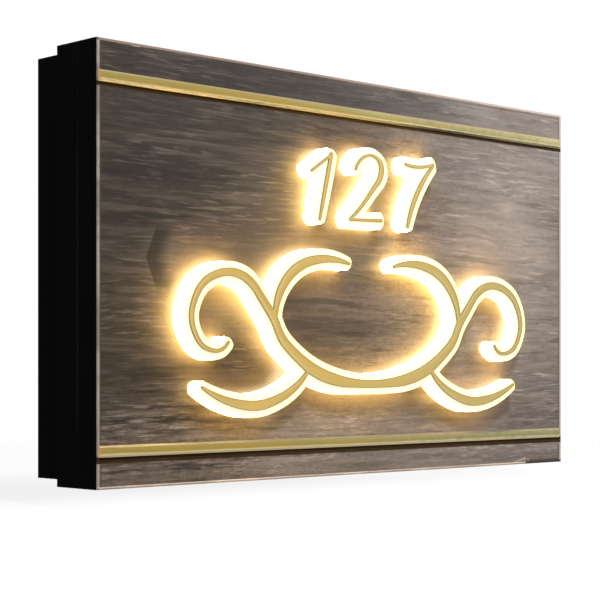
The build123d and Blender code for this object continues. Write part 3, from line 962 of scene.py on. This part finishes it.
# led rows: a dome on each chip with a resistor beside it, pads at each cut mark, solder at both ends
rowLook = {
    "dome": [(0.0021, 0.0), (0.0020, 0.00012), (0.0014, 0.00026), (0.0007, 0.00032), (0, 0.00034)],
    "chipFace": -0.0334,
    "joint": [(0.0021, 0.0), (0.0020, 0.0004), (0.0016, 0.0010), (0.0008, 0.0014), (0, 0.0015)],
    "jointInset": 0.0042,
    "resistor": {"shift": 0.0085, "outline": (0.0020, 0.0012, 0.0001), "rise": 0.0005},
    "cap": {"shift": 0.00085, "outline": (0.0005, 0.00124, 0.0001), "rise": 0.00054},
    "pad": {"shift": (0.0014, 0.0031), "outline": (0.0022, 0.0018, 0.0006), "rise": 0.00005},
    "roundness": 20,
}


def addResistor(form, x, level):
    face = stripLook["face"]
    body, cap = rowLook["resistor"], rowLook["cap"]
    middle = x + body["shift"]
    raised(form, (middle, face, level), forward, blockOutline(*body["outline"]), 0, body["rise"])
    for side in bothWays:
        spot = (middle + side * cap["shift"], face, level)
        for part in raised(form, spot, forward, blockOutline(*cap["outline"]), 0, cap["rise"]):
            part.material_index = 1


def addPads(form, x, level):
    pad = rowLook["pad"]
    across, up = pad["shift"]
    for u in bothWays:
        for v in bothWays:
            spot = (x + u * across, stripLook["face"], level + v * up)
            raised(form, spot, forward, blockOutline(*pad["outline"]), 0, pad["rise"])


def fitRows():
    look = rowLook
    domes, resistors, pads, joints = bmesh.new(), bmesh.new(), bmesh.new(), bmesh.new()
    for row in rows:
        level, chips, marks = rowPlaces(row)
        for x in chips:
            turned(domes, (x, look["chipFace"], level), forward, look["dome"], look["roundness"])
            addResistor(resistors, x, level)
        for x in marks:
            addPads(pads, x, level)
        low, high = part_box(f"led_strip_{row}")
        for x in (low.x + look["jointInset"], high.x - look["jointInset"]):
            turned(joints, (x, stripLook["face"], level), forward, look["joint"], look["roundness"])
    settle(newPiece("chipDomes", domes, chipFinish()), "wall_box", "chip")
    resistorSkins = plain["resistorBlack"], plain["tinSolder"]
    settle(newPiece("stripResistors", resistors, *resistorSkins), "wall_box", "strip")
    settle(newPiece("stripPads", pads, plain["padCopper"]), "wall_box", "strip")
    settle(newPiece("solderJoints", joints, plain["tinSolder"]), "wall_box", "steel")


# rubber edging round the cable hole in the led board
edgingLook = {
    "spot": (0.160, -0.0305, 0.020),
    "inner": 0.0072,
    "outer": 0.0096,
    "rise": 0.0013,
    "corner": 0.0006,
    "roundness": 40,
}


def fitEdging():
    look = edgingLook
    inner, outer, rise, corner = look["inner"], look["outer"], look["rise"], look["corner"]
    profile = [(inner, 0), (outer, 0), (outer, 0.5 * rise), (outer - corner, rise)]
    profile += [(inner + corner, rise), (inner, 0.5 * rise), (inner, 0)]
    ring = bmesh.new()
    turned(ring, look["spot"], forward, profile, look["roundness"])
    settle(newPiece("cableHoleEdging", ring, plain["edgingRubber"]), "wall_box", "rubber")


fitBoxScrews()
fitDriverScrews()
fitRows()
fitEdging()
print("small pieces fitted")

# studio: pale floor just below the sign, white surroundings, soft lamps
white = rgb(1.0, 1.0, 1.0)
studio = {
    "floorLevel": -0.148,
    "floorHalf": 12.0,
    "floorColour": rgb(0.82, 0.82, 0.82),
    "floorDull": rgb(0.22, 0.22, 0.22),
    "floorShade": 0.14,
    # where the shadow fades: outwards, to the front and to the left
    "shadeReach": (0.3, 1.0),
    "shadeFront": (-0.050, 0.075),
    "shadeLeft": (-0.38, -0.23),
    "fill": 0.14,
    "lamps": {
        "keyLamp": {"spot": (-0.35, -0.87, 1.05), "size": 0.2, "power": 21, "colour": (1.0, 0.98, 0.95)},
        "rightLamp": {"spot": (2.0, -0.95, 0.9), "size": 0.7, "power": 60, "colour": (1.0, 0.96, 0.93)},
    },
}


def seenPath(paint):  # 1 for rays that come from the camera, a mirror or glass
    names = ("Is Camera Ray", "Is Glossy Ray", "Is Transmission Ray")
    camera, glossy, glass = [paint.add("LightPath", {}, {}, name) for name in names]
    return paint.larger(paint.larger(camera, glossy), glass)


def layFloor():
    half, level = studio["floorHalf"], studio["floorLevel"]
    mesh = bpy.data.meshes.new("floor")
    corners = [(-half, -half, level), (half, -half, level), (half, half, level), (-half, half, level)]
    mesh.from_pydata(corners, [], [(0, 1, 2, 3)])
    floor = bpy.data.objects.new("floor", mesh)
    bpy.context.scene.collection.objects.link(floor)
    paint = newPaint("paleFloor")
    x, y, z = paint.place()
    # where it is seen the floor is white, and keeps part of the sign's shadow close to it
    away = (x ** 2.0 + y ** 2.0) ** 0.5
    near = (1.0 - paint.step(away, *studio["shadeReach"])) * paint.step(y, *studio["shadeFront"])
    near = near * paint.step(x, *studio["shadeLeft"])
    matt = paint.add("BsdfDiffuse", {}, {"Color": studio["floorColour"]})
    plainWhite = paint.add("Emission", {}, {"Color": white, "Strength": 1.0})
    seen = paint.blend(near * studio["floorShade"], plainWhite, matt)
    dull = paint.add("BsdfDiffuse", {}, {"Color": studio["floorDull"]})
    mesh.materials.append(paint.close(paint.blend(seenPath(paint), dull, seen)))


def lightWorld():
    world = bpy.data.worlds.new("studioWorld")
    bpy.context.scene.world = world
    paint = Paint(world)
    fill = paint.add("Background", {}, {"Color": white, "Strength": studio["fill"]})
    backdrop = paint.add("Background", {}, {"Color": white, "Strength": 1.0})
    paint.add("OutputWorld", {}, {"Surface": paint.blend(seenPath(paint), fill, backdrop)})


def hangLamps():
    for name, lamp in studio["lamps"].items():
        light = bpy.data.lights.new(name, "AREA")
        light.shape = "DISK"
        light.size = lamp["size"]
        light.energy = lamp["power"]
        light.color = lamp["colour"]
        holder = bpy.data.objects.new(name, light)
        bpy.context.scene.collection.objects.link(holder)
        holder.location = lamp["spot"]
        holder.rotation_euler = (-Vector(lamp["spot"])).to_track_quat("-Z", "Y").to_euler()


layFloor()
lightWorld()
hangLamps()
print("studio lit")

# camera: level, to the left of the sign and a little below its middle
cameraView = {
    "spot": (-0.8322, -0.8712, -0.0631),
    "turn": -43.91,
    "lens": 100.98,
    "sensor": 36.0,
    "rise": 0.1158,
}


def setCamera():
    camera = bpy.data.cameras.new("photoCamera")
    camera.lens = cameraView["lens"]
    camera.sensor_width = cameraView["sensor"]
    camera.shift_y = cameraView["rise"]
    holder = bpy.data.objects.new("photoCamera", camera)
    bpy.context.scene.collection.objects.link(holder)
    holder.location = cameraView["spot"]
    holder.rotation_euler = (math.radians(90), 0, math.radians(cameraView["turn"]))
    bpy.context.scene.camera = holder


setCamera()
bpy.context.scene.view_settings.view_transform = "Standard"
print("camera set")
